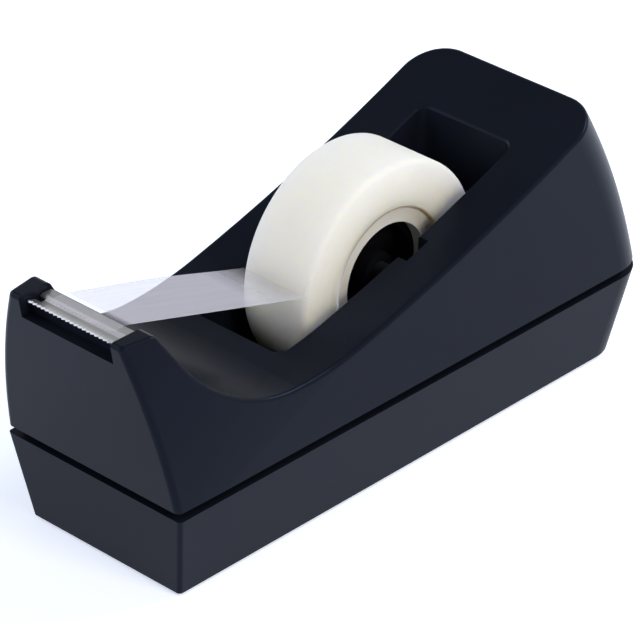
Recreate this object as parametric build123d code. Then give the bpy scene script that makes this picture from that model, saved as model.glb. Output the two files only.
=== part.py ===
from build123d import *
import math
import os

# Weighted desktop tape dispenser, in millimetres.
# +Z is up, the nose with the cutter points to -Y, and X runs across the width.
# The origin is under the middle of the object, on the surface that it stands on.

# Footprint at the parting line between the base and the upper shell
footprint_length = 153.6
footprint_width = 53.4
rear_corner_radius = 10.0
parting_height = 23.0
reveal_gap = 2.0

# Upper shell, seen from the side
nose_overhang = 6.8
nose_height = 63.8
nose_back_angle = 60.0
nose_corner_radius = 1.4
ear_rear_radius = 2.0
valley_from_front = 36.4
valley_height = 39.4
valley_nose_radius = 35.0
valley_ramp_radius = 80.0
ramp_foot_angle = 14.0
hood_height = 68.9
hood_setback = 18.8
rear_foot_angle = 13.5
shell_wall = 2.2
shell_edge_radius = 1.0
slight_angle = 8.0

# Cheeks: each side of the nose curves inward, down to the ears, as part of a large leaning cylinder
ear_thickness = 3.1
cheek_lean = 24.0
cheek_foot_drop = 12.2
cheek_stand_off = 0.05
cheek_overrun = 8.0

# Tape roll, core and hub
tape_width = 19.0
roll_radius = 27.7
core_bore_radius = 12.7
core_wall = 3.9
core_recess = 1.2
wound_clearance = 0.04
hub_rim_wall = 1.6
hub_recess = 4.6
hub_web_thickness = 2.6
hub_boss_radius = 4.6
hub_boss_length = 12.0
axle_from_front = 83.0
roll_lowest_height = 12.8
axle_radius = 2.5
axle_clearance = 0.06
axle_end_chamfer = 0.4

# Roll well around the roll, open at the ramp
well_side_gap = 4.3
well_front_gap = 12.0
well_rear_gap = 7.7
well_floor_gap = 3.6
well_wall = 2.0
well_corner_radius = 2.5
well_mouth_chamfer = 0.4

# Axle saddles on the outer faces of the well's side walls
saddle_pocket_depth = 3.0
saddle_back_wall = 1.6
saddle_half_length = 6.5
saddle_depth_below_axle = 5.0
slot_clearance = 0.10
slot_lead_in = 1.8
slot_lead_height = 3.0
axle_end_gap = 0.4

# Nose: ears, cutter seat and the slot under the cutting edge
cutter_margin = 4.4
ear_rise = 2.8
nose_slot_gap = 2.5
nose_slot_depth = 4.0
nose_block_wall = 2.4

# Cutter blade, bent from steel strip
blade_end_gap = 0.4
blade_thickness = 0.5
blade_edge_inset = 2.3
blade_lip_length = 2.2
blade_lip_rise = 0.7
blade_trough_width = 1.0
blade_step_length = 1.2
blade_step_rise = 0.6
blade_flat_length = 2.4
blade_leg_depth = 3.0
blade_leg_clearance = 0.05
tooth_pitch = 1.25
tooth_depth = 0.8
blade_notch_width = 1.8
blade_notch_length = 1.5

# Free end of the tape, from the roll to the cutter
leader_thickness = 0.2
leader_gap = 0.3
peel_angle = 167.5
peel_curl_radius = 0.6
leader_end_inset = 2.3

# Base tub
base_front_inset = 3.1
base_rear_inset = 4.0
base_side_inset = 3.75
base_front_corner_radius = 1.0
least_corner_radius = 0.5
base_floor = 2.4
lip_wall = 1.6
lip_clearance = 0.15
lip_root = 0.6
lip_rise = 4.0
lip_drop = 3.0

# Non-skid pad, let into the underside
pad_thickness = 1.6
pad_proud = 0.8
pad_margin = 3.0
pad_clearance = 0.2
pad_corner_radius = 3.0

# Screw posts and screws
post_radius = 4.6
post_from_side = 10.75
front_post_from_front = 21.0
rear_post_from_rear = 20.0
post_meeting_rise = 1.2
screw_radius = 1.5
screw_clearance = 0.2
screw_head_radius = 3.0
screw_head_height = 2.0
screw_recess_depth = 9.0
screw_bite = 8.0
screw_drive_width = 2.6
screw_drive_slot = 0.7
screw_drive_depth = 1.1
pilot_clearance = 0.05

# Ballast block, cast to fit the base
ballast_gap = 0.5
ballast_height = 15.0

# Sizes and places worked out from the driving dimensions
overall_length = footprint_length + nose_overhang
rear_y = overall_length / 2
front_y = rear_y - footprint_length
nose_tip_y = -overall_length / 2
half_width = footprint_width / 2
base_bottom = pad_proud
base_rim_height = parting_height - reveal_gap / 2
shell_bottom = parting_height + reveal_gap / 2
base_wall = shell_wall + lip_clearance + lip_root
core_outer_radius = core_bore_radius + core_wall
axle_y = front_y + axle_from_front
axle_height = roll_lowest_height + roll_radius
well_half = tape_width / 2 + well_side_gap
well_front_y = axle_y - roll_radius - well_front_gap
well_rear_y = axle_y + roll_radius + well_rear_gap
well_floor_height = axle_height - roll_radius - well_floor_gap
well_underside = well_floor_height - well_wall
valley_y = front_y + valley_from_front
hood_y = rear_y - hood_setback
post_meeting_height = shell_bottom + post_meeting_rise
screw_seat = base_bottom + screw_recess_depth
cutter_seat_height = nose_height - ear_rise
nose_slot_height = cutter_seat_height - nose_slot_gap
seat_half = tape_width / 2 + cutter_margin
blade_half = seat_half - blade_end_gap
blade_edge_y = nose_tip_y + blade_edge_inset
blade_rear_y = (blade_edge_y + blade_lip_length + blade_trough_width + blade_step_length
                + blade_flat_length)

# Longer than anything here, for cuts that go right through
far = 2 * overall_length
# How close two edges are when they count as being in the same place
touch = 0.01


def front_face_y(height):
    """Where the leaning front face is at a height."""
    lean = nose_overhang / (nose_height - parting_height)
    return front_y - lean * (height - parting_height)


def side_outline():
    """Outline of the upper shell from the side, running on down past the base."""
    bottom = -parting_height
    nose_turn = math.radians(nose_back_angle)
    ramp_turn = math.radians(ramp_foot_angle)
    rear_turn = math.radians(rear_foot_angle)
    valley_nose_y = valley_y - valley_nose_radius * math.sin(nose_turn)
    valley_nose_z = valley_height + valley_nose_radius * (1 - math.cos(nose_turn))
    nose_back_y = valley_nose_y - (nose_height - valley_nose_z) / math.tan(nose_turn)
    ramp_foot_y = valley_y + valley_ramp_radius * math.sin(ramp_turn)
    ramp_foot_z = valley_height + valley_ramp_radius * (1 - math.cos(ramp_turn))
    front_foot = (front_face_y(bottom), bottom)
    nose_tip = (nose_tip_y, nose_height)
    nose_back = (nose_back_y, nose_height)
    valley_nose = (valley_nose_y, valley_nose_z)
    ramp_foot = (ramp_foot_y, ramp_foot_z)
    hood = (hood_y, hood_height)
    rear_foot = (rear_y, parting_height)
    rear_low = (rear_y + (parting_height - bottom) * math.tan(rear_turn), bottom)
    edges = [
        Line(front_foot, nose_tip),
        Line(nose_tip, nose_back),
        Line(nose_back, valley_nose),
        CenterArc((valley_y, valley_height + valley_nose_radius), valley_nose_radius,
                  270 - nose_back_angle, nose_back_angle),
        CenterArc((valley_y, valley_height + valley_ramp_radius), valley_ramp_radius,
                  270, ramp_foot_angle),
        TangentArc(ramp_foot, hood, tangent=(math.cos(ramp_turn), math.sin(ramp_turn))),
        TangentArc(rear_foot, hood, tangent=(-math.sin(rear_turn), math.cos(rear_turn))),
        Line(rear_foot, rear_low),
        Line(rear_low, front_foot),
    ]
    return make_face(edges)


def cheek_cutter(inset):
    """What a large leaning cylinder leaves outside it, on the +X side of the nose."""
    lean = math.radians(cheek_lean)
    along = Vector(0, math.cos(lean), math.sin(lean))
    foot_height = parting_height - cheek_foot_drop
    tip_reach = (nose_height - foot_height) * math.cos(lean)
    crest_x = half_width + cheek_stand_off
    draw_in = crest_x - seat_half - ear_thickness
    cheek_radius = (tip_reach ** 2 + draw_in ** 2) / (2 * draw_in)
    centre_x = crest_x - cheek_radius
    radius = cheek_radius - inset
    reach = tip_reach + cheek_overrun
    reach_angle = math.degrees(math.asin(reach / radius))
    plane = Plane(origin=(0, nose_tip_y, foot_height), x_dir=(1, 0, 0), z_dir=-along)
    arc = CenterArc((centre_x, 0), radius, 0, reach_angle)
    edges = [
        arc,
        Line(arc @ 1, (footprint_width, reach)),
        Line((footprint_width, reach), (footprint_width, 0)),
        Line((footprint_width, 0), arc @ 0),
    ]
    return extrude(plane * make_face(edges), amount=overall_length, both=True)


def shell_body(inset):
    """The upper shell's outer form, drawn in by an inset, running on below the parting line."""
    outline = side_outline()
    if inset > 0:
        outline = offset(outline, amount=-inset, kind=Kind.INTERSECTION)
    body = extrude(Plane.YZ * outline, amount=half_width - inset, both=True)
    side_edges = [edge for edge in body.edges() if abs(edge.center().X) > half_width - inset - touch]
    rear_edges = [edge for edge in side_edges if edge.center().Y > hood_y]
    body = fillet(rear_edges, rear_corner_radius - inset)
    for cutter in both_sides(cheek_cutter(inset)):
        body = body - cutter
    return body


def block(x_range, y_range, z_range):
    """A box between two corners, given as one range along each axis."""
    size = [high - low for low, high in (x_range, y_range, z_range)]
    middle = [(high + low) / 2 for low, high in (x_range, y_range, z_range)]
    return Pos(*middle) * Box(*size)


def both_sides(shape):
    """A shape together with its mirror image on the other side of the width."""
    return [shape, mirror(shape, about=Plane.YZ)]


def upright(x_value, y_value, radius, bottom, top):
    """A standing cylinder between two heights."""
    return Pos(x_value, y_value, (bottom + top) / 2) * Cylinder(radius, top - bottom)


def roll_disc(radius, width):
    """A cylinder on the roll's axis, centred on the width."""
    return Pos(0, axle_y, axle_height) * Rot(0, 90, 0) * Cylinder(radius, width)


def roll_ring(inner_radius, outer_radius, width):
    """A plain ring on the roll's axis."""
    return roll_disc(outer_radius, width) - roll_disc(inner_radius, 2 * width)


def sharp_edges(solid, lowest):
    """Edges above a height where two faces meet at more than a slight angle."""
    picked = []
    for edge in solid.edges():
        middle = edge.position_at(0.5)
        if middle.Z < lowest:
            continue
        touching = [face for face in solid.faces() if any(edge.is_same(other) for other in face.edges())]
        if len(touching) == 2:
            turn = touching[0].normal_at(middle).get_angle(touching[1].normal_at(middle))
            if turn > slight_angle:
                picked.append(edge)
    return picked


def post_places():
    """Centres of the four screw posts."""
    front_post_y = front_y + front_post_from_front
    rear_post_y = rear_y - rear_post_from_rear
    post_x = half_width - post_from_side
    return [(x_value, y_value) for y_value in (front_post_y, rear_post_y) for x_value in (-post_x, post_x)]


def blade_profile():
    """Section of the cutter blade: toothed lip, trough, step, flat and the leg behind it."""
    low = cutter_seat_height
    lip_end = blade_edge_y + blade_lip_length
    trough_end = lip_end + blade_trough_width
    step_end = trough_end + blade_step_length
    edge_top = low + blade_thickness + blade_lip_rise
    flat_top = low + blade_thickness + blade_step_rise
    leg_low = low - blade_leg_depth
    points = [
        (blade_edge_y, edge_top),
        (lip_end, low + blade_thickness),
        (trough_end, low + blade_thickness),
        (step_end, flat_top),
        (blade_rear_y, flat_top),
        (blade_rear_y, leg_low),
        (blade_rear_y - blade_thickness, leg_low),
        (blade_rear_y - blade_thickness, flat_top - blade_thickness),
        (step_end, flat_top - blade_thickness),
        (trough_end, low),
        (lip_end, low),
        (blade_edge_y, edge_top - blade_thickness),
    ]
    return make_face(Polyline(*points, close=True))


def rounded_form():
    """The upper shell's outer form above the reveal, with its edges rounded."""
    form = shell_body(0) - block((-far, far), (-far, far), (-far, shell_bottom))
    cross_edges = form.edges().filter_by(Axis.X).filter_by_position(Axis.Y, nose_tip_y + touch, valley_y)
    form = fillet(cross_edges.sort_by(Axis.Z)[-1], ear_rear_radius)
    front_face = form.faces().sort_by(Axis.Y)[0]
    front_corners = [edge for edge in front_face.edges() if abs(edge.center().X) > touch]
    form = fillet(front_corners, nose_corner_radius)
    return fillet(sharp_edges(form, shell_bottom + nose_corner_radius), shell_edge_radius)


def inner_walls():
    """What stands inside the shell: the walls of the well, the axle saddles and the screw bosses."""
    outer_half = well_half + well_wall
    walls = block((-outer_half, outer_half), (well_front_y - well_wall, well_rear_y + well_wall),
                  (well_underside, hood_height))
    saddle_half = well_half + saddle_pocket_depth + saddle_back_wall
    walls = walls + block((-saddle_half, saddle_half),
                          (axle_y - saddle_half_length, axle_y + saddle_half_length),
                          (axle_height - saddle_depth_below_axle, hood_height))
    for x_value, y_value in post_places():
        walls = walls + upright(x_value, y_value, post_radius, post_meeting_height, hood_height)
    return walls & shell_body(shell_wall / 2)


def cut_well(shell):
    """Open the roll well and the axle slots through the ramp and bevel the mouth of the well."""
    well = block((-well_half, well_half), (well_front_y, well_rear_y), (well_floor_height, far))
    shell = shell - fillet(well.edges().filter_by(Axis.Z), well_corner_radius) - axle_slots()
    mouth = []
    for edge in shell.edges():
        middle = edge @ 0.5
        along_well = well_front_y - touch < middle.Y < well_rear_y + touch
        over_well = along_well and abs(middle.X) < well_half + touch
        at_slot = axle_y - saddle_half_length < middle.Y < axle_y + saddle_half_length
        rise = abs((edge @ 1).Z - (edge @ 0).Z)
        if over_well and not at_slot and middle.Z > shell_bottom and rise < edge.length - touch:
            mouth.append(edge)
    return chamfer(mouth, well_mouth_chamfer)


def axle_slots():
    """Slots that take the axle's ends, open at the ramp, with a lead-in on the rear side."""
    slot_half = axle_radius + slot_clearance
    pocket = well_half + saddle_pocket_depth
    outline = make_face(Polyline(
        (axle_y - slot_half, axle_height),
        (axle_y + slot_half, axle_height),
        (axle_y + slot_half, axle_height + slot_half),
        (axle_y + slot_half + slot_lead_in, axle_height + slot_half + slot_lead_height),
        (axle_y + slot_half + slot_lead_in, far),
        (axle_y - slot_half, far),
        close=True))
    return extrude(Plane.YZ * outline, amount=pocket, both=True) + roll_disc(slot_half, 2 * pocket)


def cutter_seat():
    """Room for the cutter between the ears, the slot under its edge and the slit for its leg."""
    seat = block((-seat_half, seat_half), (-far, valley_y), (cutter_seat_height, far))
    slot_end = nose_tip_y + nose_slot_depth
    seat = seat + block((-seat_half, seat_half), (-far, slot_end), (nose_slot_height, far))
    leg_half = blade_half + blade_leg_clearance
    leg_front = blade_rear_y - blade_thickness - blade_leg_clearance
    leg_rear = blade_rear_y + blade_leg_clearance
    leg_low = cutter_seat_height - blade_leg_depth - blade_leg_clearance
    return seat + block((-leg_half, leg_half), (leg_front, leg_rear), (leg_low, far))


def make_upper_shell():
    """Moulded upper shell: a thin skin with a solid nose tip, the roll well, saddles and bosses."""
    nose_floor = nose_slot_height - nose_block_wall
    cavity = shell_body(shell_wall) - block((-far, far), (-far, valley_y), (nose_floor, far))
    shell = rounded_form() - cavity
    shell = shell + inner_walls()
    shell = cut_well(shell)
    shell = shell - cutter_seat()
    for x_value, y_value in post_places():
        pilot_top = post_meeting_height + screw_bite + screw_clearance
        shell = shell - upright(x_value, y_value, screw_radius + pilot_clearance,
                                post_meeting_height - screw_bite, pilot_top)
    return shell


def plan_outline(front_value, rear_value, half_value, front_radius, rear_radius):
    """Outline of the base from above, square at the front and round at the rear corners."""
    width = 2 * half_value
    length = rear_value - front_value
    outline = Pos(0, (front_value + rear_value) / 2) * Rectangle(width, length)
    corners = outline.vertices().sort_by(Axis.Y)
    outline = fillet(corners[:2], front_radius)
    rear_corners = outline.vertices().sort_by(Axis.Y)[-2:]
    return fillet(rear_corners, rear_radius)


def base_section(height, inset):
    """The base's outline at a height between its foot and its rim, drawn in by an inset."""
    share = (base_rim_height - height) / (base_rim_height - base_bottom)
    outline = plan_outline(
        front_y + share * base_front_inset + inset,
        rear_y - share * base_rear_inset - inset,
        half_width - share * base_side_inset - inset,
        max(base_front_corner_radius - inset, least_corner_radius),
        rear_corner_radius - inset)
    return Pos(0, 0, height) * outline


def base_solid(bottom, top, inset):
    """The tapering body of the base between two heights, drawn in by an inset."""
    return loft([base_section(bottom, inset), base_section(top, inset)], ruled=True)


def make_base_tub():
    """Moulded base: a tapering tub with a plug-in lip, screw posts and a recess for the pad."""
    tub = base_solid(base_bottom, base_rim_height, 0)
    tub = tub - base_solid(base_bottom + base_floor, base_rim_height, base_wall)
    lip_inset = shell_wall + lip_clearance
    lip = shell_body(lip_inset) - shell_body(lip_inset + lip_wall)
    lip = lip & block((-far, far), (-far, far), (base_rim_height - lip_drop, shell_bottom + lip_rise))
    tub = tub + lip
    for x_value, y_value in post_places():
        tub = tub + upright(x_value, y_value, post_radius, base_bottom + base_floor, post_meeting_height)
    for x_value, y_value in post_places():
        tub = tub - upright(x_value, y_value, screw_radius + screw_clearance, base_bottom, far)
        tub = tub - upright(x_value, y_value, screw_head_radius + screw_clearance, -far, screw_seat)
    recess_top = base_bottom + pad_thickness - pad_proud
    recess = extrude(pad_outline(0), amount=recess_top)
    return tub - recess


def pad_outline(inset):
    """Outline of the non-skid pad's recess, drawn in by an inset."""
    margin = pad_margin + inset
    return plan_outline(
        front_y + base_front_inset + margin,
        rear_y - base_rear_inset - margin,
        half_width - base_side_inset - margin,
        pad_corner_radius,
        rear_corner_radius - margin)


def make_nonskid_pad():
    """Sheet of foam rubber stuck into the underside."""
    return extrude(pad_outline(pad_clearance), amount=pad_thickness)


def make_ballast_block():
    """Cast weight in the base, low in the middle where the roll well comes down."""
    bottom = base_bottom + base_floor
    weight = base_solid(bottom, bottom + ballast_height, base_wall + ballast_gap)
    weight = weight & shell_body(shell_wall + lip_clearance + lip_wall + ballast_gap)
    weight = weight - block((-far, far),
                            (well_front_y - well_wall - ballast_gap, well_rear_y + well_wall + ballast_gap),
                            (well_underside - ballast_gap, far))
    for x_value, y_value in post_places():
        weight = weight - upright(x_value, y_value, post_radius + ballast_gap, -far, far)
    return weight


def make_case_screws():
    """Four self-tapping screws, driven up through the base posts into the shell's bosses."""
    screws = []
    for x_value, y_value in post_places():
        head = upright(x_value, y_value, screw_head_radius, screw_seat - screw_head_height, screw_seat)
        shank = upright(x_value, y_value, screw_radius, screw_seat - screw_head_height,
                        post_meeting_height + screw_bite)
        drive_top = screw_seat - screw_head_height + screw_drive_depth
        drive = Pos(x_value, y_value, drive_top - screw_drive_depth / 2)
        screw = head + shank
        screw = screw - drive * Box(screw_drive_width, screw_drive_slot, screw_drive_depth)
        screw = screw - drive * Box(screw_drive_slot, screw_drive_width, screw_drive_depth)
        screws.append(screw)
    return Compound(children=screws)


def make_cutter_blade():
    """Steel strip with a toothed front edge, held by a leg pressed into the nose."""
    blade = extrude(Plane.YZ * blade_profile(), amount=blade_half, both=True)
    gap_count = int(2 * blade_half / tooth_pitch)
    first_gap = -tooth_pitch * (gap_count - 1) / 2
    for index in range(gap_count):
        middle = first_gap + index * tooth_pitch
        gap = make_face(Polyline(
            (middle - tooth_pitch / 2, blade_edge_y),
            (middle + tooth_pitch / 2, blade_edge_y),
            (middle, blade_edge_y + tooth_depth),
            close=True))
        blade = blade - extrude(gap, amount=far)
    notch_y = blade_edge_y + blade_lip_length
    notch = block((blade_half - blade_notch_width, far), (notch_y, notch_y + blade_notch_length), (0, far))
    for cut in both_sides(notch):
        blade = blade - cut
    return blade


def make_hub_wheel():
    """Hub that carries the tape core: rim, middle web and a boss bored for the axle."""
    rim_radius = core_bore_radius - wound_clearance
    hub = roll_ring(rim_radius - hub_rim_wall, rim_radius, tape_width - 2 * hub_recess)
    hub = hub + roll_disc(rim_radius - hub_rim_wall / 2, hub_web_thickness)
    hub = hub + roll_disc(hub_boss_radius, hub_boss_length)
    return hub - roll_disc(axle_radius + axle_clearance, far)


def make_hub_axle():
    """Plain pin that lies in the two saddle slots."""
    half_length = well_half + saddle_pocket_depth - axle_end_gap
    axle = roll_disc(axle_radius, 2 * half_length)
    return chamfer(axle.edges().filter_by(GeomType.CIRCLE), axle_end_chamfer)


def make_tape_leader():
    """Free end of the tape: peels off the front of the roll and lies over the cutter."""
    curl = peel_curl_radius + leader_thickness
    peel = math.radians(peel_angle)
    reach = roll_radius + leader_gap + curl
    curl_y = axle_y + reach * math.cos(peel)
    curl_z = axle_height + reach * math.sin(peel)
    low = cutter_seat_height + blade_thickness + max(blade_lip_rise, blade_step_rise) + leader_gap
    bend_y = blade_rear_y
    end_y = blade_edge_y + leader_end_inset
    distance = math.hypot(curl_y - bend_y, curl_z - low)
    heading = math.atan2(curl_z - low, curl_y - bend_y) - math.asin(curl / distance)
    turn = math.degrees(peel - heading) - 90
    run = math.sqrt(distance ** 2 - curl ** 2)
    down = (bend_y + run * math.cos(heading), low + run * math.sin(heading))
    normal = (-math.sin(heading), math.cos(heading))
    top = (down[0] + leader_thickness * normal[0], down[1] + leader_thickness * normal[1])
    top_bend = (bend_y - leader_thickness * math.tan(heading / 2), low + leader_thickness)
    start_angle = math.degrees(heading) - 90
    outer_arc = CenterArc((curl_y, curl_z), curl, start_angle, turn)
    inner_arc = CenterArc((curl_y, curl_z), peel_curl_radius, start_angle, turn)
    edges = [
        Line((end_y, low), (bend_y, low)),
        Line((bend_y, low), down),
        outer_arc,
        Line(outer_arc @ 1, inner_arc @ 1),
        inner_arc,
        Line(top, top_bend),
        Line(top_bend, (end_y, low + leader_thickness)),
        Line((end_y, low + leader_thickness), (end_y, low)),
    ]
    return extrude(Plane.YZ * make_face(edges), amount=tape_width / 2, both=True)


pieces = {
    "upper_shell": make_upper_shell(),
    "base_tub": make_base_tub(),
    "ballast_block": make_ballast_block(),
    "nonskid_pad": make_nonskid_pad(),
    "case_screws": make_case_screws(),
    "cutter_blade": make_cutter_blade(),
    "hub_axle": make_hub_axle(),
    "hub_wheel": make_hub_wheel(),
    "tape_core": roll_ring(core_bore_radius, core_outer_radius, tape_width - 2 * core_recess),
    "tape_winding": roll_ring(core_outer_radius + wound_clearance, roll_radius, tape_width),
    "tape_leader": make_tape_leader(),
}
os.makedirs("parts", exist_ok=True)
for name, shape in pieces.items():
    export_step(shape, f"parts/{name}.step")
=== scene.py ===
import bmesh
import bpy
import math
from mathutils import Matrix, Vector, noise


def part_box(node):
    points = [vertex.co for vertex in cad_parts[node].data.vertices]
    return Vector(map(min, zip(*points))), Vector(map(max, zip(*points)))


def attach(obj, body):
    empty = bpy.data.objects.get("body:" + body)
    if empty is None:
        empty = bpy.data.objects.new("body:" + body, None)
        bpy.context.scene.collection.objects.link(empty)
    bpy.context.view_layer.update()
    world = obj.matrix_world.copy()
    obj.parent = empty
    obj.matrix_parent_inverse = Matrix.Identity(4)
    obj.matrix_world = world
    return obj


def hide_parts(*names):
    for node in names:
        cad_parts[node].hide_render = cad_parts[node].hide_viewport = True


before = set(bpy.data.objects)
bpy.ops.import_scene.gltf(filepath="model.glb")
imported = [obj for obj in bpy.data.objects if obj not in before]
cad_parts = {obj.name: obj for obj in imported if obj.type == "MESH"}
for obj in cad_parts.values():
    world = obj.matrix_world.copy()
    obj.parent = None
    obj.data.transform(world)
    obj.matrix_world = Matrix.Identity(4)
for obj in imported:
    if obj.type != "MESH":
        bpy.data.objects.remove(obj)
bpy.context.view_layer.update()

# Base tub.
# The lower half of the case, one ABS moulding whose walls lean in towards the foot.
# It is screwed up against the shell from below and leaves a dark reveal at the parting line.
mm = 0.001


def linear(colour):
    """The linear colour of an sRGB hex value, as shader sockets take it."""
    shares = [int(colour[place:place + 2], 16) / 255 for place in (1, 3, 5)]
    return [s / 12.92 if s <= 0.04045 else ((s + 0.055) / 1.055) ** 2.4 for s in shares] + [1.0]


def add_node(finish, kind, settings=None, links=None):
    """Adds a node to a finish. Settings are its options or inputs, and links feed its inputs."""
    node = finish.node_tree.nodes.new(kind)
    for key, value in (settings or {}).items():
        if isinstance(key, str) and hasattr(node, key):
            setattr(node, key, value)
        else:
            node.inputs[key].default_value = value
    for key, source in (links or {}).items():
        finish.node_tree.links.new(source, node.inputs[key])
    return node


def bare_finish(name):
    """A new material with an empty node tree."""
    finish = bpy.data.materials.new(name)
    finish.use_nodes = True
    finish.node_tree.nodes.clear()
    return finish


def satin_moulding(name, deep, pale, roughness):
    """Black plastic from a spark-eroded mould: satin, with a fine grain and faint handling marks.

    Its shine is weak and slightly blue. The real grain is about 0.1 mm and is drawn coarser,
    so that it shows.
    """
    grain_size = 0.45 * mm
    grain_depth = 0.02 * mm
    mark_size = 22 * mm
    mark_roughness = 0.05
    finish = bare_finish(name)
    place = add_node(finish, "ShaderNodeTexCoord")
    grain = add_node(finish, "ShaderNodeTexNoise", {"Scale": 1 / grain_size, "Detail": 3.0},
                     {"Vector": place.outputs["Object"]})
    marks = add_node(finish, "ShaderNodeTexNoise", {"Scale": 1 / mark_size, "Detail": 5.0, "Roughness": 0.6},
                     {"Vector": place.outputs["Object"]})
    tint = add_node(finish, "ShaderNodeMix", {"data_type": "RGBA", 6: linear(deep), 7: linear(pale)},
                    {0: marks.outputs["Fac"]})
    rough = add_node(finish, "ShaderNodeMapRange",
                     {"To Min": roughness - mark_roughness, "To Max": roughness + mark_roughness},
                     {"Value": marks.outputs["Fac"]})
    relief = add_node(finish, "ShaderNodeBump", {"Strength": 0.25, "Distance": grain_depth},
                      {"Height": grain.outputs["Fac"]})
    shader = add_node(finish, "ShaderNodeBsdfPrincipled",
                      {"IOR": 1.53, "Specular IOR Level": 0.08, "Specular Tint": linear("#B8CBFF")},
                      {"Base Color": tint.outputs[2], "Roughness": rough.outputs["Result"],
                       "Normal": relief.outputs["Normal"]})
    add_node(finish, "ShaderNodeOutputMaterial", {}, {"Surface": shader.outputs["BSDF"]})
    return finish


def dress(node_name, finish):
    """Gives a CAD node its finish."""
    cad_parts[node_name].material_slots[0].material = finish


dress("base_tub", satin_moulding("base satin ABS", deep="#11151D", pale="#171B25", roughness=0.36))

# Ballast block.
# The weight in the base, an iron sand casting with a rough skin.
# It lies in the tub, with its four holes over the screw posts.


def sand_cast_iron():
    """Bare grey iron: dark, dull and pitted as the sand left it."""
    sand_size = 1.2 * mm
    pit_depth = 0.2 * mm
    finish = bare_finish("sand cast iron")
    place = add_node(finish, "ShaderNodeTexCoord")
    sand = add_node(finish, "ShaderNodeTexNoise", {"Scale": 1 / sand_size, "Detail": 6.0},
                    {"Vector": place.outputs["Object"]})
    tint = add_node(finish, "ShaderNodeMix",
                    {"data_type": "RGBA", 6: linear("#4A4644"), 7: linear("#6B6764")},
                    {0: sand.outputs["Fac"]})
    relief = add_node(finish, "ShaderNodeBump", {"Strength": 0.6, "Distance": pit_depth},
                      {"Height": sand.outputs["Fac"]})
    shader = add_node(finish, "ShaderNodeBsdfPrincipled", {"Metallic": 0.9, "Roughness": 0.7},
                      {"Base Color": tint.outputs[2], "Normal": relief.outputs["Normal"]})
    add_node(finish, "ShaderNodeOutputMaterial", {}, {"Surface": shader.outputs["BSDF"]})
    return finish


dress("ballast_block", sand_cast_iron())

# Case screws.
# Four self-tapping screws, cold headed in steel and zinc plated.
# They are driven up through the base's posts into the shell.


def zinc_plate():
    """Bright zinc on steel: pale, slightly blue and cloudy."""
    cloud_size = 0.8 * mm
    finish = bare_finish("zinc plated steel")
    place = add_node(finish, "ShaderNodeTexCoord")
    cloud = add_node(finish, "ShaderNodeTexNoise", {"Scale": 1 / cloud_size, "Detail": 4.0},
                     {"Vector": place.outputs["Object"]})
    tint = add_node(finish, "ShaderNodeMix",
                    {"data_type": "RGBA", 6: linear("#A9ACB0"), 7: linear("#C6C9CE")},
                    {0: cloud.outputs["Fac"]})
    rough = add_node(finish, "ShaderNodeMapRange", {"To Min": 0.28, "To Max": 0.45},
                     {"Value": cloud.outputs["Fac"]})
    shader = add_node(finish, "ShaderNodeBsdfPrincipled", {"Metallic": 1.0},
                      {"Base Color": tint.outputs[2], "Roughness": rough.outputs["Result"]})
    add_node(finish, "ShaderNodeOutputMaterial", {}, {"Surface": shader.outputs["BSDF"]})
    return finish


dress("case_screws", zinc_plate())

# Non-skid pad.
# A sheet of black foam rubber, die cut and stuck into the recess under the base.
# It is what the dispenser stands on, and its cut edge is slightly rounded.
pad_low, pad_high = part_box("nonskid_pad")
pad_front_corner = 3.0 * mm
pad_rear_corner = 6.8 * mm
pad_edge_round = 0.35 * mm
corner_steps = 10


def pad_ring(inset):
    """The pad's outline from above, drawn in by an inset, with four round corners."""
    ring = []
    for quarter, (side_x, side_y) in enumerate([(1, 1), (-1, 1), (-1, -1), (1, -1)]):
        radius = pad_rear_corner if side_y > 0 else pad_front_corner
        centre_x = (pad_high.x - radius) if side_x > 0 else (pad_low.x + radius)
        centre_y = (pad_high.y - radius) if side_y > 0 else (pad_low.y + radius)
        for step in range(corner_steps + 1):
            angle = math.radians(90 * (quarter + step / corner_steps))
            reach = radius - inset
            ring.append((centre_x + reach * math.cos(angle), centre_y + reach * math.sin(angle)))
    return ring


def new_piece(name, mesh_data):
    """A new object, smooth all over, made from bmesh data."""
    for face in mesh_data.faces:
        face.smooth = True
    mesh = bpy.data.meshes.new(name)
    mesh_data.to_mesh(mesh)
    mesh_data.free()
    piece = bpy.data.objects.new(name, mesh)
    bpy.context.scene.collection.objects.link(piece)
    return piece


def close_rings(mesh_data, rings):
    """Joins rings of equal count, one to the next, with quads."""
    for lower, upper in zip(rings, rings[1:]):
        for index in range(len(lower)):
            after = (index + 1) % len(lower)
            mesh_data.faces.new((lower[index], lower[after], upper[after], upper[index]))


pad_data = bmesh.new()
round_steps = 4
levels = []
for step in range(round_steps + 1):
    turn = math.radians(90 * step / round_steps)
    levels.append((pad_edge_round * (1 - math.sin(turn)), pad_low.z + pad_edge_round * (1 - math.cos(turn))))
levels.append((0.0, pad_high.z))
pad_rings = [[pad_data.verts.new((x, y, height)) for x, y in pad_ring(inset)] for inset, height in levels]
close_rings(pad_data, pad_rings)
pad_data.faces.new(list(reversed(pad_rings[0])))
pad_data.faces.new(pad_rings[-1])
pad = new_piece("foam_pad", pad_data)


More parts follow.
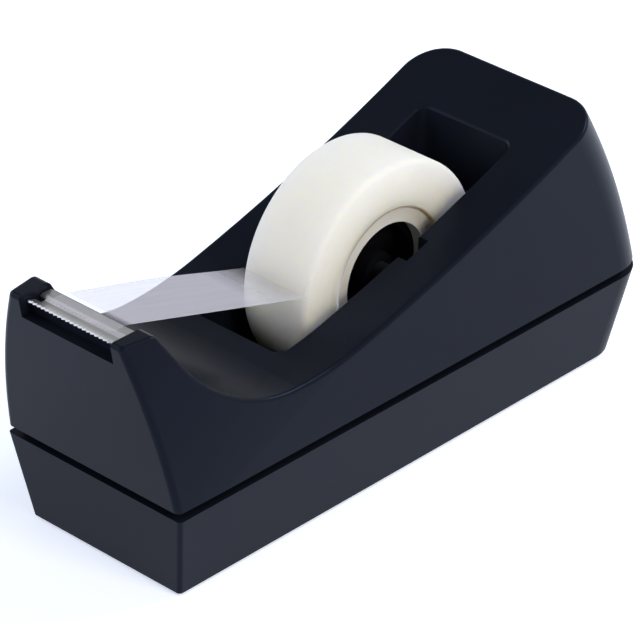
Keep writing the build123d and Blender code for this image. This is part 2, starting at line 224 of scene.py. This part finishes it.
def foam_rubber():
    """Closed-cell black foam: matt, with fine pores that show as pits, and painted shade that darkens each
    pit towards its bottom.

    The real pores are about 0.3 mm and are drawn coarser, so that they show.
    """
    pore_size = 0.7 * mm
    pore_depth = 0.15 * mm
    finish = bare_finish("closed cell foam rubber")
    place = add_node(finish, "ShaderNodeTexCoord")
    pores = add_node(finish, "ShaderNodeTexVoronoi", {"Scale": 1 / pore_size},
                     {"Vector": place.outputs["Object"]})
    # Painted shade: the pores are coloured darker where the bump sinks them deepest.
    tint = add_node(finish, "ShaderNodeMix",
                    {"data_type": "RGBA", 6: linear("#141416"), 7: linear("#2A2A2D")},
                    {0: pores.outputs["Distance"]})
    relief = add_node(finish, "ShaderNodeBump", {"Strength": 0.8, "Distance": pore_depth},
                      {"Height": pores.outputs["Distance"]})
    shader = add_node(finish, "ShaderNodeBsdfPrincipled", {"Roughness": 0.9, "IOR": 1.5},
                      {"Base Color": tint.outputs[2], "Normal": relief.outputs["Normal"]})
    add_node(finish, "ShaderNodeOutputMaterial", {}, {"Surface": shader.outputs["BSDF"]})
    return finish


pad.data.materials.append(foam_rubber())
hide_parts("nonskid_pad")
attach(pad, "housing")

# Upper shell.
# The top of the case, one ABS moulding with the nose, the scooped valley, the ramp and the hood.
# The roll well, the axle saddles and the ears beside the cutter belong to it. Four screws hold it down.
dress("upper_shell", satin_moulding("shell satin ABS", deep="#11151D", pale="#171B25", roughness=0.3))

# Cutter blade.
# A strip of thin steel, pressed to a trough with a toothed front edge and nickel plated.
# Its rear leg is pushed into a slit in the nose.


def nickel_plate():
    """Nickel on rolled steel: bright and warm grey, with fine rolling lines along the strip.

    The real lines are about 0.02 mm apart and are drawn coarser, so that they show.
    """
    line_spacing = 0.25 * mm
    line_depth = 0.02 * mm
    line_length = 12 * mm
    stain_size = 3 * mm
    finish = bare_finish("nickel plated steel")
    place = add_node(finish, "ShaderNodeTexCoord")
    stretch = add_node(finish, "ShaderNodeMapping",
                       {"Scale": (1 / line_length, 1 / line_spacing, 1 / line_spacing)},
                       {"Vector": place.outputs["Object"]})
    lines = add_node(finish, "ShaderNodeTexNoise", {"Scale": 1.0, "Detail": 4.0},
                     {"Vector": stretch.outputs["Vector"]})
    stain = add_node(finish, "ShaderNodeTexNoise", {"Scale": 1 / stain_size, "Detail": 3.0},
                     {"Vector": place.outputs["Object"]})
    tint = add_node(finish, "ShaderNodeMix",
                    {"data_type": "RGBA", 6: linear("#D0CFCE"), 7: linear("#E4E4E5")},
                    {0: stain.outputs["Fac"]})
    rough = add_node(finish, "ShaderNodeMapRange", {"To Min": 0.25, "To Max": 0.45},
                     {"Value": lines.outputs["Fac"]})
    relief = add_node(finish, "ShaderNodeBump", {"Strength": 0.3, "Distance": line_depth},
                      {"Height": lines.outputs["Fac"]})
    shader = add_node(finish, "ShaderNodeBsdfPrincipled", {"Metallic": 1.0},
                      {"Base Color": tint.outputs[2], "Roughness": rough.outputs["Result"],
                       "Normal": relief.outputs["Normal"]})
    add_node(finish, "ShaderNodeOutputMaterial", {}, {"Surface": shader.outputs["BSDF"]})
    return finish


dress("cutter_blade", nickel_plate())

# Hub axle and hub wheel.
# A plain acetal pin that lies loose in the saddles, and the black ABS wheel that turns on it
# and carries the core. Both are moulded.
dress("hub_axle", satin_moulding("axle acetal", deep="#1B1C1F", pale="#232428", roughness=0.35))
dress("hub_wheel", satin_moulding("hub ABS", deep="#101115", pale="#16181D", roughness=0.4))

# Tape core.
# The ring that the tape is wound on, moulded in white polystyrene and pushed onto the hub.
# It sits a little inside the winding on both sides.


def white_polystyrene():
    """White polystyrene: slightly warm, a little light passes into it, with faint flow marks."""
    flow_size = 6 * mm
    finish = bare_finish("white polystyrene")
    place = add_node(finish, "ShaderNodeTexCoord")
    flow = add_node(finish, "ShaderNodeTexNoise", {"Scale": 1 / flow_size, "Detail": 3.0},
                    {"Vector": place.outputs["Object"]})
    tint = add_node(finish, "ShaderNodeMix",
                    {"data_type": "RGBA", 6: linear("#DCD9CF"), 7: linear("#E7E4DD")},
                    {0: flow.outputs["Fac"]})
    shader = add_node(finish, "ShaderNodeBsdfPrincipled",
                      {"Roughness": 0.4, "IOR": 1.59, "Subsurface Weight": 0.3,
                       "Subsurface Radius": (1.0, 0.8, 0.6), "Subsurface Scale": 1 * mm},
                      {"Base Color": tint.outputs[2]})
    add_node(finish, "ShaderNodeOutputMaterial", {}, {"Surface": shader.outputs["BSDF"]})
    return finish


dress("tape_core", white_polystyrene())

# Tape winding.
# The wound tape, some two hundred turns of clear acetate film with its adhesive. Wound up, it looks
# like milky ivory wax, and on its two faces the turns stand a hair in and out of each other.
winding_low, winding_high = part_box("tape_winding")
core_low, core_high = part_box("tape_core")
roll_centre = (winding_low + winding_high) / 2
roll_radius = (winding_high.y - winding_low.y) / 2
roll_half = (winding_high.x - winding_low.x) / 2
core_gap = 0.04 * mm
winding_bore = (core_high.y - core_low.y) / 2 + core_gap
rim_round = 1.2 * mm
rim_steps = 6
turn_drift = 0.12 * mm
drift_bands = 36
drift_waves = 11
side_seed = 7.3
drift_seed = 0.4
roll_sides = 180


def winding_side(side):
    """Points of one face of the winding, as places along the axle and radii, from the bore out.

    The real turns are 0.05 mm apart. Their drift is drawn in wider bands, so that it shows.
    """
    points = []
    for band in range(drift_bands + 1):
        share = band / drift_bands
        radius = winding_bore + (roll_radius - rim_round - winding_bore) * share
        wave = noise.noise(Vector((share * drift_waves, side * side_seed, drift_seed)))
        drift = turn_drift * (0.5 + 0.5 * wave)
        points.append((side * (roll_half - drift * (1 - share)), radius))
    for step in range(1, rim_steps + 1):
        turn = math.radians(90 * step / rim_steps)
        points.append((side * (roll_half - rim_round * (1 - math.cos(turn))),
                       roll_radius - rim_round * (1 - math.sin(turn))))
    return points


winding_data = bmesh.new()
winding_section = winding_side(1) + list(reversed(winding_side(-1)))
winding_rings = []
for x, radius in winding_section:
    ring = []
    for index in range(roll_sides):
        angle = 2 * math.pi * index / roll_sides
        point = (roll_centre.x + x, roll_centre.y + radius * math.cos(angle),
                 roll_centre.z + radius * math.sin(angle))
        ring.append(winding_data.verts.new(point))
    winding_rings.append(ring)
close_rings(winding_data, winding_rings + winding_rings[:1])
bmesh.ops.recalc_face_normals(winding_data, faces=winding_data.faces)
winding = new_piece("wound_tape", winding_data)


def wound_film():
    """Clear acetate film in many turns: light goes in deep, which gives a cool rim and ivory faces.

    In real film red light goes deepest. Here blue does, because that gives these colours.
    The innermost turns, seen in the core's recess, are painted amber: painted shade, standing in for the
    shadow there lit through the tape.
    The real turns are 0.05 mm apart and are drawn coarser, so that they show.
    """
    turn_spacing = 0.5 * mm
    turn_depth = 0.05 * mm
    cloud_size = 9 * mm
    recess_shade_band = 0.15 * mm
    finish = bare_finish("wound acetate film")
    place = add_node(finish, "ShaderNodeTexCoord")
    centred = add_node(finish, "ShaderNodeVectorMath", {"operation": "SUBTRACT", 1: roll_centre},
                       {0: place.outputs["Object"]})
    apart = add_node(finish, "ShaderNodeSeparateXYZ", {}, {0: centred.outputs["Vector"]})
    flat = add_node(finish, "ShaderNodeCombineXYZ", {}, {"Y": apart.outputs["Y"], "Z": apart.outputs["Z"]})
    radius = add_node(finish, "ShaderNodeVectorMath", {"operation": "LENGTH"}, {0: flat.outputs["Vector"]})
    turns = add_node(finish, "ShaderNodeTexNoise",
                     {"noise_dimensions": "1D", "Scale": 1 / turn_spacing, "Detail": 3.0},
                     {"W": radius.outputs["Value"]})
    cloud = add_node(finish, "ShaderNodeTexNoise", {"Scale": 1 / cloud_size, "Detail": 3.0},
                     {"Vector": place.outputs["Object"]})
    back = add_node(finish, "ShaderNodeMix",
                    {"data_type": "RGBA", 6: linear("#F0EEE4"), 7: linear("#F6F4EC")},
                    {0: cloud.outputs["Fac"]})
    # Painted shade: the winding within a fraction of a millimetre of the bore is tinted amber, as if shaded
    # and lit through the tape.
    painted_recess_shade = add_node(finish, "ShaderNodeMapRange",
                      {"From Min": winding_bore + recess_shade_band, "From Max": winding_bore + 2 * recess_shade_band,
                       "To Min": 1.0, "To Max": 0.0},
                      {"Value": radius.outputs["Value"]})
    tint = add_node(finish, "ShaderNodeMix", {"data_type": "RGBA", 7: linear("#DDBE90")},
                    {0: painted_recess_shade.outputs["Result"], 6: back.outputs[2]})
    relief = add_node(finish, "ShaderNodeBump", {"Strength": 0.15, "Distance": turn_depth},
                      {"Height": turns.outputs["Fac"]})
    shader = add_node(finish, "ShaderNodeBsdfPrincipled",
                      {"Roughness": 0.6, "IOR": 1.48, "Specular IOR Level": 0.15, "Subsurface Weight": 1.0,
                       "Subsurface Radius": (8.2, 8.8, 13.0), "Subsurface Scale": 1 * mm},
                      {"Base Color": tint.outputs[2], "Normal": relief.outputs["Normal"]})
    add_node(finish, "ShaderNodeOutputMaterial", {}, {"Surface": shader.outputs["BSDF"]})
    return finish


winding.data.materials.append(wound_film())
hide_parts("tape_winding")
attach(winding, "roll")

# Tape leader.
# The free end of the tape, one layer of the acetate film. It peels off the front of the roll, crosses
# the valley with a slight twist and sticks to the cutter, where its end was torn along the teeth.
leader_low, leader_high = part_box("tape_leader")
film_thickness = 0.08 * mm
film_half = (leader_high.x - leader_low.x) / 2
peel_angle = math.radians(167.5)
peel_lift = 0.02 * mm
twist_lift = 0.5 * mm
torn_pitch = 1.25 * mm
torn_depth = 0.5 * mm
film_end_y = leader_low.y
film_top = leader_high.z - film_thickness
blade_back_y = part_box("cutter_blade")[1].y
peel_y = roll_centre.y + (roll_radius + peel_lift) * math.cos(peel_angle)
peel_z = roll_centre.z + (roll_radius + peel_lift) * math.sin(peel_angle)
stuck_length = blade_back_y - film_end_y
free_run = Vector((0, peel_y - blade_back_y, peel_z - film_top))
strip_length = stuck_length + free_run.length
half_columns = 2 * round(film_half / torn_pitch)
strip_rows = 48


def strip_place(along, across):
    """A point of the strip: along runs from the cutter to the roll, across from -1 to 1."""
    travel = along * strip_length
    if travel < stuck_length:
        return Vector((across * film_half, film_end_y + travel, film_top))
    share = (travel - stuck_length) / free_run.length
    point = Vector((across * film_half, blade_back_y, film_top)) + free_run * share
    point.z += twist_lift * (0.5 - 0.5 * across) * math.sin(math.pi * share) ** 2
    return point


strip_data = bmesh.new()
layers = []
for lift in (0.0, film_thickness):
    rows = []
    for row in range(strip_rows + 1):
        line = []
        for column in range(2 * half_columns + 1):
            across = column / half_columns - 1
            point = strip_place(row / strip_rows, across)
            if row == 0 and column % 2:
                point.y += torn_depth
            point.z += lift
            line.append(strip_data.verts.new(point))
        rows.append(line)
    layers.append(rows)
rims = []
for rows in layers:
    front = rows[0]
    right = [line[-1] for line in rows[1:]]
    back = list(reversed(rows[-1][:-1]))
    left = [line[0] for line in reversed(rows[1:-1])]
    rims.append(front + right + back + left)
close_rings(strip_data, rims)
for rows in layers:
    for lower, upper in zip(rows, rows[1:]):
        for index in range(len(lower) - 1):
            strip_data.faces.new((lower[index], lower[index + 1], upper[index + 1], upper[index]))
bmesh.ops.recalc_face_normals(strip_data, faces=strip_data.faces)
strip = new_piece("tape_strip", strip_data)


def clear_film():
    """One layer of acetate film with its adhesive: a milky veil that clears where the film is stuck."""
    stuck_veil = 0.08
    free_veil = 0.36
    roll_gap_length = 14 * mm
    blade_gap_length = 2 * mm
    streak_width = 1.5 * mm
    streak_length = 30 * mm
    streak_share = 0.06
    finish = bare_finish("clear acetate film")
    place = add_node(finish, "ShaderNodeTexCoord")
    stretch = add_node(finish, "ShaderNodeMapping",
                       {"Scale": (1 / streak_width, 1 / streak_length, 1 / streak_length)},
                       {"Vector": place.outputs["Object"]})
    streaks = add_node(finish, "ShaderNodeTexNoise", {"Scale": 1.0, "Detail": 3.0},
                       {"Vector": stretch.outputs["Vector"]})
    apart = add_node(finish, "ShaderNodeSeparateXYZ", {}, {0: place.outputs["Object"]})
    off_roll = add_node(finish, "ShaderNodeMapRange",
                        {"From Min": peel_y, "From Max": peel_y - roll_gap_length,
                         "To Min": stuck_veil, "To Max": free_veil},
                        {"Value": apart.outputs["Y"]})
    off_blade = add_node(finish, "ShaderNodeMapRange",
                         {"From Min": blade_back_y, "From Max": blade_back_y + blade_gap_length,
                          "To Min": stuck_veil, "To Max": free_veil},
                         {"Value": apart.outputs["Y"]})
    gap = add_node(finish, "ShaderNodeMath", {"operation": "MINIMUM"},
                   {0: off_roll.outputs["Result"], 1: off_blade.outputs["Result"]})
    cloudy = add_node(finish, "ShaderNodeMapRange", {"To Min": 1 - streak_share, "To Max": 1 + streak_share},
                      {"Value": streaks.outputs["Fac"]})
    veil = add_node(finish, "ShaderNodeMath", {"operation": "MULTIPLY"},
                    {0: gap.outputs[0], 1: cloudy.outputs["Result"]})
    tint = add_node(finish, "ShaderNodeMix",
                    {"data_type": "RGBA", 6: linear("#F3F1FE"), 7: linear("#F8F7FF")},
                    {0: streaks.outputs["Fac"]})
    shader = add_node(finish, "ShaderNodeBsdfPrincipled", {"Roughness": 0.4, "IOR": 1.48},
                      {"Base Color": tint.outputs[2], "Alpha": veil.outputs[0]})
    add_node(finish, "ShaderNodeOutputMaterial", {}, {"Surface": shader.outputs["BSDF"]})
    return finish


strip.data.materials.append(clear_film())
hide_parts("tape_leader")
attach(strip, "carrier")

# Floor, light and camera.
# A plain white sweep under the dispenser and a key lamp above its rear, with soft lamps at the
# left and the front and a warmer one at the right. A long lens looks down over the cutter.
floor_reach = 3.0
floor_mesh = bpy.data.meshes.new("floor")
floor_corners = [(-floor_reach, -floor_reach, 0), (floor_reach, -floor_reach, 0),
                 (floor_reach, floor_reach, 0), (-floor_reach, floor_reach, 0)]
floor_mesh.from_pydata(floor_corners, [], [(0, 1, 2, 3)])
floor = bpy.data.objects.new("floor", floor_mesh)
bpy.context.scene.collection.objects.link(floor)


def white_sweep():
    """Matt cool white card: it takes the shadow, and the lens and the shines see it near white.

    Its faint mottle is laid over the whole card, whose width counts as 1.
    """
    mottle_size = 150 * mm
    card_glow = 0.58
    finish = bare_finish("white card")
    rays = add_node(finish, "ShaderNodeLightPath")
    shiny = add_node(finish, "ShaderNodeMath", {"operation": "MAXIMUM"},
                     {0: rays.outputs["Is Glossy Ray"], 1: rays.outputs["Is Transmission Ray"]})
    seen = add_node(finish, "ShaderNodeMath", {"operation": "MAXIMUM"},
                    {0: rays.outputs["Is Camera Ray"], 1: shiny.outputs[0]})
    mottle = add_node(finish, "ShaderNodeTexNoise", {"Scale": 2 * floor_reach / mottle_size, "Detail": 2.0})
    tint = add_node(finish, "ShaderNodeMix",
                    {"data_type": "RGBA", 6: linear("#E9EEF6"), 7: linear("#EDF1F8")},
                    {0: mottle.outputs["Fac"]})
    card = add_node(finish, "ShaderNodeBsdfDiffuse", {}, {"Color": tint.outputs[2]})
    lift = add_node(finish, "ShaderNodeMath", {"operation": "MULTIPLY", 1: card_glow}, {0: seen.outputs[0]})
    glow = add_node(finish, "ShaderNodeEmission", {"Color": linear("#EAF0FF")}, {"Strength": lift.outputs[0]})
    both = add_node(finish, "ShaderNodeAddShader", {}, {0: card.outputs[0], 1: glow.outputs[0]})
    add_node(finish, "ShaderNodeOutputMaterial", {}, {"Surface": both.outputs[0]})
    return finish


floor_mesh.materials.append(white_sweep())


def studio_room():
    """A room with white walls and a dark ceiling."""
    wall_glow = 1.0
    ceiling_glow = 0.1
    wall_top = 0.75
    room = bpy.data.worlds.new("studio")
    room.use_nodes = True
    room.node_tree.nodes.clear()
    place = add_node(room, "ShaderNodeTexCoord")
    apart = add_node(room, "ShaderNodeSeparateXYZ", {}, {0: place.outputs["Generated"]})
    glow = add_node(room, "ShaderNodeMapRange",
                    {"From Max": wall_top, "To Min": wall_glow, "To Max": ceiling_glow},
                    {"Value": apart.outputs["Z"]})
    light = add_node(room, "ShaderNodeBackground", {"Color": linear("#F7F8FA")},
                     {"Strength": glow.outputs["Result"]})
    add_node(room, "ShaderNodeOutputWorld", {}, {"Surface": light.outputs[0]})
    return room


bpy.context.scene.world = studio_room()

lamp_aim = Vector((0, 0, 40 * mm))


def softbox(name, towards, distance, size, share, colour):
    """A square lamp that alone would give a white card facing it that share of full white."""
    lamp = bpy.data.lights.new(name, "AREA")
    lamp.shape = "SQUARE"
    lamp.size = size
    lamp.color = linear(colour)[:3]
    lamp.energy = share * math.pi ** 2 * distance ** 2
    holder = bpy.data.objects.new(name, lamp)
    holder.location = lamp_aim + Vector(towards).normalized() * distance
    holder.rotation_mode = "QUATERNION"
    holder.rotation_quaternion = (-Vector(towards)).to_track_quat("-Z", "Y")
    bpy.context.scene.collection.objects.link(holder)


softbox("key_softbox", towards=(0.3, 0.65, 0.7), distance=1.2, size=0.5, share=0.55, colour="#E6EFFF")
softbox("left_softbox", towards=(-0.8, -0.4, 0.5), distance=1.4, size=0.9, share=0.36, colour="#F1F6FF")
softbox("front_softbox", towards=(-0.2, -0.9, 0.32), distance=1.4, size=0.8, share=0.15, colour="#F1F6FF")
softbox("right_softbox", towards=(0.85, -0.05, 0.6), distance=1.4, size=0.4, share=0.38, colour="#FFF3E3")

picture_width = 640
focal_pixels = 4300
view_azimuth = math.radians(43.788)
view_elevation = math.radians(30.561)
view_distance = 960 * mm
aim = Vector((-0.795, -2.234, 30.268)) * mm
lens = bpy.data.cameras.new("camera")
lens.sensor_width = 36.0
lens.lens = focal_pixels * lens.sensor_width / picture_width
camera = bpy.data.objects.new("camera", lens)
backward = Vector((math.sin(view_azimuth) * math.cos(view_elevation),
                   -math.cos(view_azimuth) * math.cos(view_elevation),
                   math.sin(view_elevation)))
camera.location = aim + backward * view_distance
camera.rotation_mode = "QUATERNION"
camera.rotation_quaternion = (-backward).to_track_quat("-Z", "Y")
bpy.context.scene.collection.objects.link(camera)
bpy.context.scene.camera = camera
bpy.context.scene.view_settings.view_transform = "Standard"
